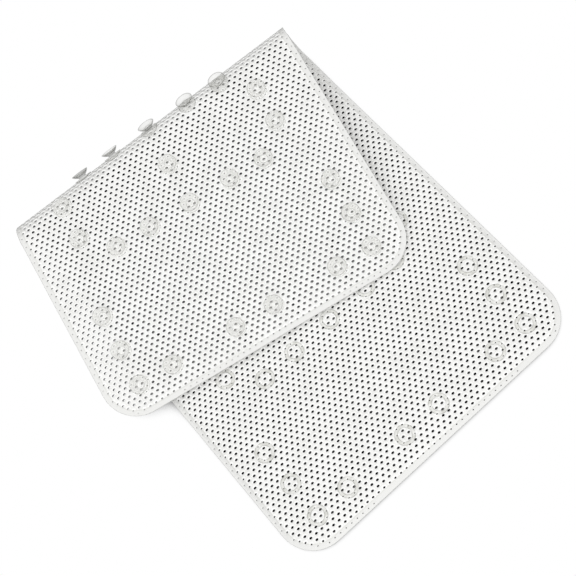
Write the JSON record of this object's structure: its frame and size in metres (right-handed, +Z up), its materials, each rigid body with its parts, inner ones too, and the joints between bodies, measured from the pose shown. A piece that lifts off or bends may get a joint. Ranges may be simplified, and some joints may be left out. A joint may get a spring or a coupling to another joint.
{
  "type": "non-slip bath mat",
  "caption": "Perforated white foam bath mat with round corners, folded over to show the clear suction cups on its underside.",
  "frame": {"origin": "centre of the folded mat's box, on the plane that the suction cups stand on", "axes": "+Z up, +Y from the lying half's free end to the fold, +X across the mat"},
  "size_m": [0.4888, 0.575, 0.078],
  "materials": {
    "foam_mesh": "matt white closed-cell PVC foam, perforated",
    "clear_cup": "clear soft PVC, faintly straw coloured, glossy"
  },
  "bodies": {
    "floor_half": {"floor_panel": "foam_mesh", "floor_cup_01": "clear_cup", "floor_cup_02": "clear_cup", "floor_cup_03": "clear_cup", "floor_cup_04": "clear_cup", "floor_cup_05": "clear_cup", "floor_cup_06": "clear_cup", "floor_cup_07": "clear_cup", "floor_cup_08": "clear_cup", "floor_cup_09": "clear_cup", "floor_cup_10": "clear_cup", "floor_cup_11": "clear_cup", "floor_cup_12": "clear_cup", "floor_cup_13": "clear_cup", "floor_cup_14": "clear_cup", "floor_cup_15": "clear_cup", "floor_cup_16": "clear_cup", "floor_cup_17": "clear_cup", "floor_cup_18": "clear_cup", "floor_cup_19": "clear_cup", "floor_cup_20": "clear_cup", "floor_cup_21": "clear_cup", "floor_cup_22": "clear_cup", "floor_cup_23": "clear_cup", "floor_cup_24": "clear_cup", "floor_cup_25": "clear_cup", "floor_cup_26": "clear_cup", "floor_cup_27": "clear_cup", "floor_cup_28": "clear_cup"},
    "fold_spine": {"fold_crown": "foam_mesh"},
    "bend_foot": {"fold_foot": "foam_mesh"},
    "bend_head": {"fold_head": "foam_mesh"},
    "flap": {"flap_panel": "foam_mesh", "flap_cup_01": "clear_cup", "flap_cup_02": "clear_cup", "flap_cup_03": "clear_cup", "flap_cup_04": "clear_cup", "flap_cup_05": "clear_cup", "flap_cup_06": "clear_cup", "flap_cup_07": "clear_cup", "flap_cup_08": "clear_cup", "flap_cup_09": "clear_cup", "flap_cup_13": "clear_cup", "flap_cup_14": "clear_cup", "flap_cup_15": "clear_cup", "flap_cup_16": "clear_cup", "flap_cup_17": "clear_cup", "flap_cup_19": "clear_cup", "flap_cup_20": "clear_cup", "flap_cup_21": "clear_cup", "flap_cup_24": "clear_cup", "flap_cup_25": "clear_cup"},
    "bend_cup_10": {"flap_cup_10": "clear_cup"},
    "bend_cup_11": {"flap_cup_11": "clear_cup"},
    "bend_cup_12": {"flap_cup_12": "clear_cup"},
    "bend_cup_18": {"flap_cup_18": "clear_cup"},
    "bend_cup_22": {"flap_cup_22": "clear_cup"},
    "bend_cup_23": {"flap_cup_23": "clear_cup"}
  },
  "joints": [
    {"name": "unfold_foot", "type": "hinge", "parent": "floor_half", "child": "fold_spine", "pos_m": [0.03171, 0.25684, 0.01727], "axis": [-0.9943, 0.1063, 0], "range_deg": [0, 94.39], "deforming": ["fold_foot", "fold_crown", "fold_head"]},
    {"name": "unfold_head", "type": "hinge", "parent": "fold_spine", "child": "flap", "pos_m": [0.03134, 0.25342, 0.06212], "axis": [-0.9943, 0.1063, 0], "range_deg": [0, 94.39]},
    {"name": "turn_foot", "type": "hinge", "parent": "floor_half", "child": "bend_foot", "pos_m": [0.03051, 0.24566, 0.01236], "axis": [-0.9943, 0.1063, 0], "range_deg": [0, 47.21]},
    {"name": "turn_head", "type": "hinge", "parent": "flap", "child": "bend_head", "pos_m": [0.03008, 0.24162, 0.06525], "axis": [0.9943, -0.1063, 0], "range_deg": [0, 47.21]},
    {"name": "turn_cup_10", "type": "hinge", "parent": "flap", "child": "bend_cup_10", "pos_m": [0.03045, 0.24514, 0.06468], "axis": [0.9943, -0.1063, 0], "range_deg": [0, 61.49]},
    {"name": "turn_cup_11", "type": "hinge", "parent": "flap", "child": "bend_cup_11", "pos_m": [0.03075, 0.24786, 0.06402], "axis": [0.9943, -0.1063, 0], "range_deg": [0, 72.42]},
    {"name": "turn_cup_12", "type": "hinge", "parent": "flap", "child": "bend_cup_12", "pos_m": [0.0291, 0.23245, 0.06535], "axis": [0.9943, -0.1063, 0], "range_deg": [0, 8.98]},
    {"name": "turn_cup_18", "type": "hinge", "parent": "flap", "child": "bend_cup_18", "pos_m": [0.03011, 0.2419, 0.06522], "axis": [0.9943, -0.1063, 0], "range_deg": [0, 48.35]},
    {"name": "turn_cup_22", "type": "hinge", "parent": "flap", "child": "bend_cup_22", "pos_m": [0.02977, 0.23871, 0.06551], "axis": [0.9943, -0.1063, 0], "range_deg": [0, 35.21]},
    {"name": "turn_cup_23", "type": "hinge", "parent": "flap", "child": "bend_cup_23", "pos_m": [0.02949, 0.23608, 0.06556], "axis": [0.9943, -0.1063, 0], "range_deg": [0, 24.28]}
  ],
  "couplings": [
    {"joint": "unfold_head", "follows": "unfold_foot", "ratio": 1},
    {"joint": "turn_foot", "follows": "unfold_foot", "ratio": 0.5},
    {"joint": "turn_head", "follows": "unfold_foot", "ratio": 0.5},
    {"joint": "turn_cup_10", "follows": "unfold_foot", "ratio": 0.6513},
    {"joint": "turn_cup_11", "follows": "unfold_foot", "ratio": 0.76712},
    {"joint": "turn_cup_12", "follows": "unfold_foot", "ratio": 0.094986},
    {"joint": "turn_cup_18", "follows": "unfold_foot", "ratio": 0.51212},
    {"joint": "turn_cup_22", "follows": "unfold_foot", "ratio": 0.37293},
    {"joint": "turn_cup_23", "follows": "unfold_foot", "ratio": 0.25711}
  ]
}
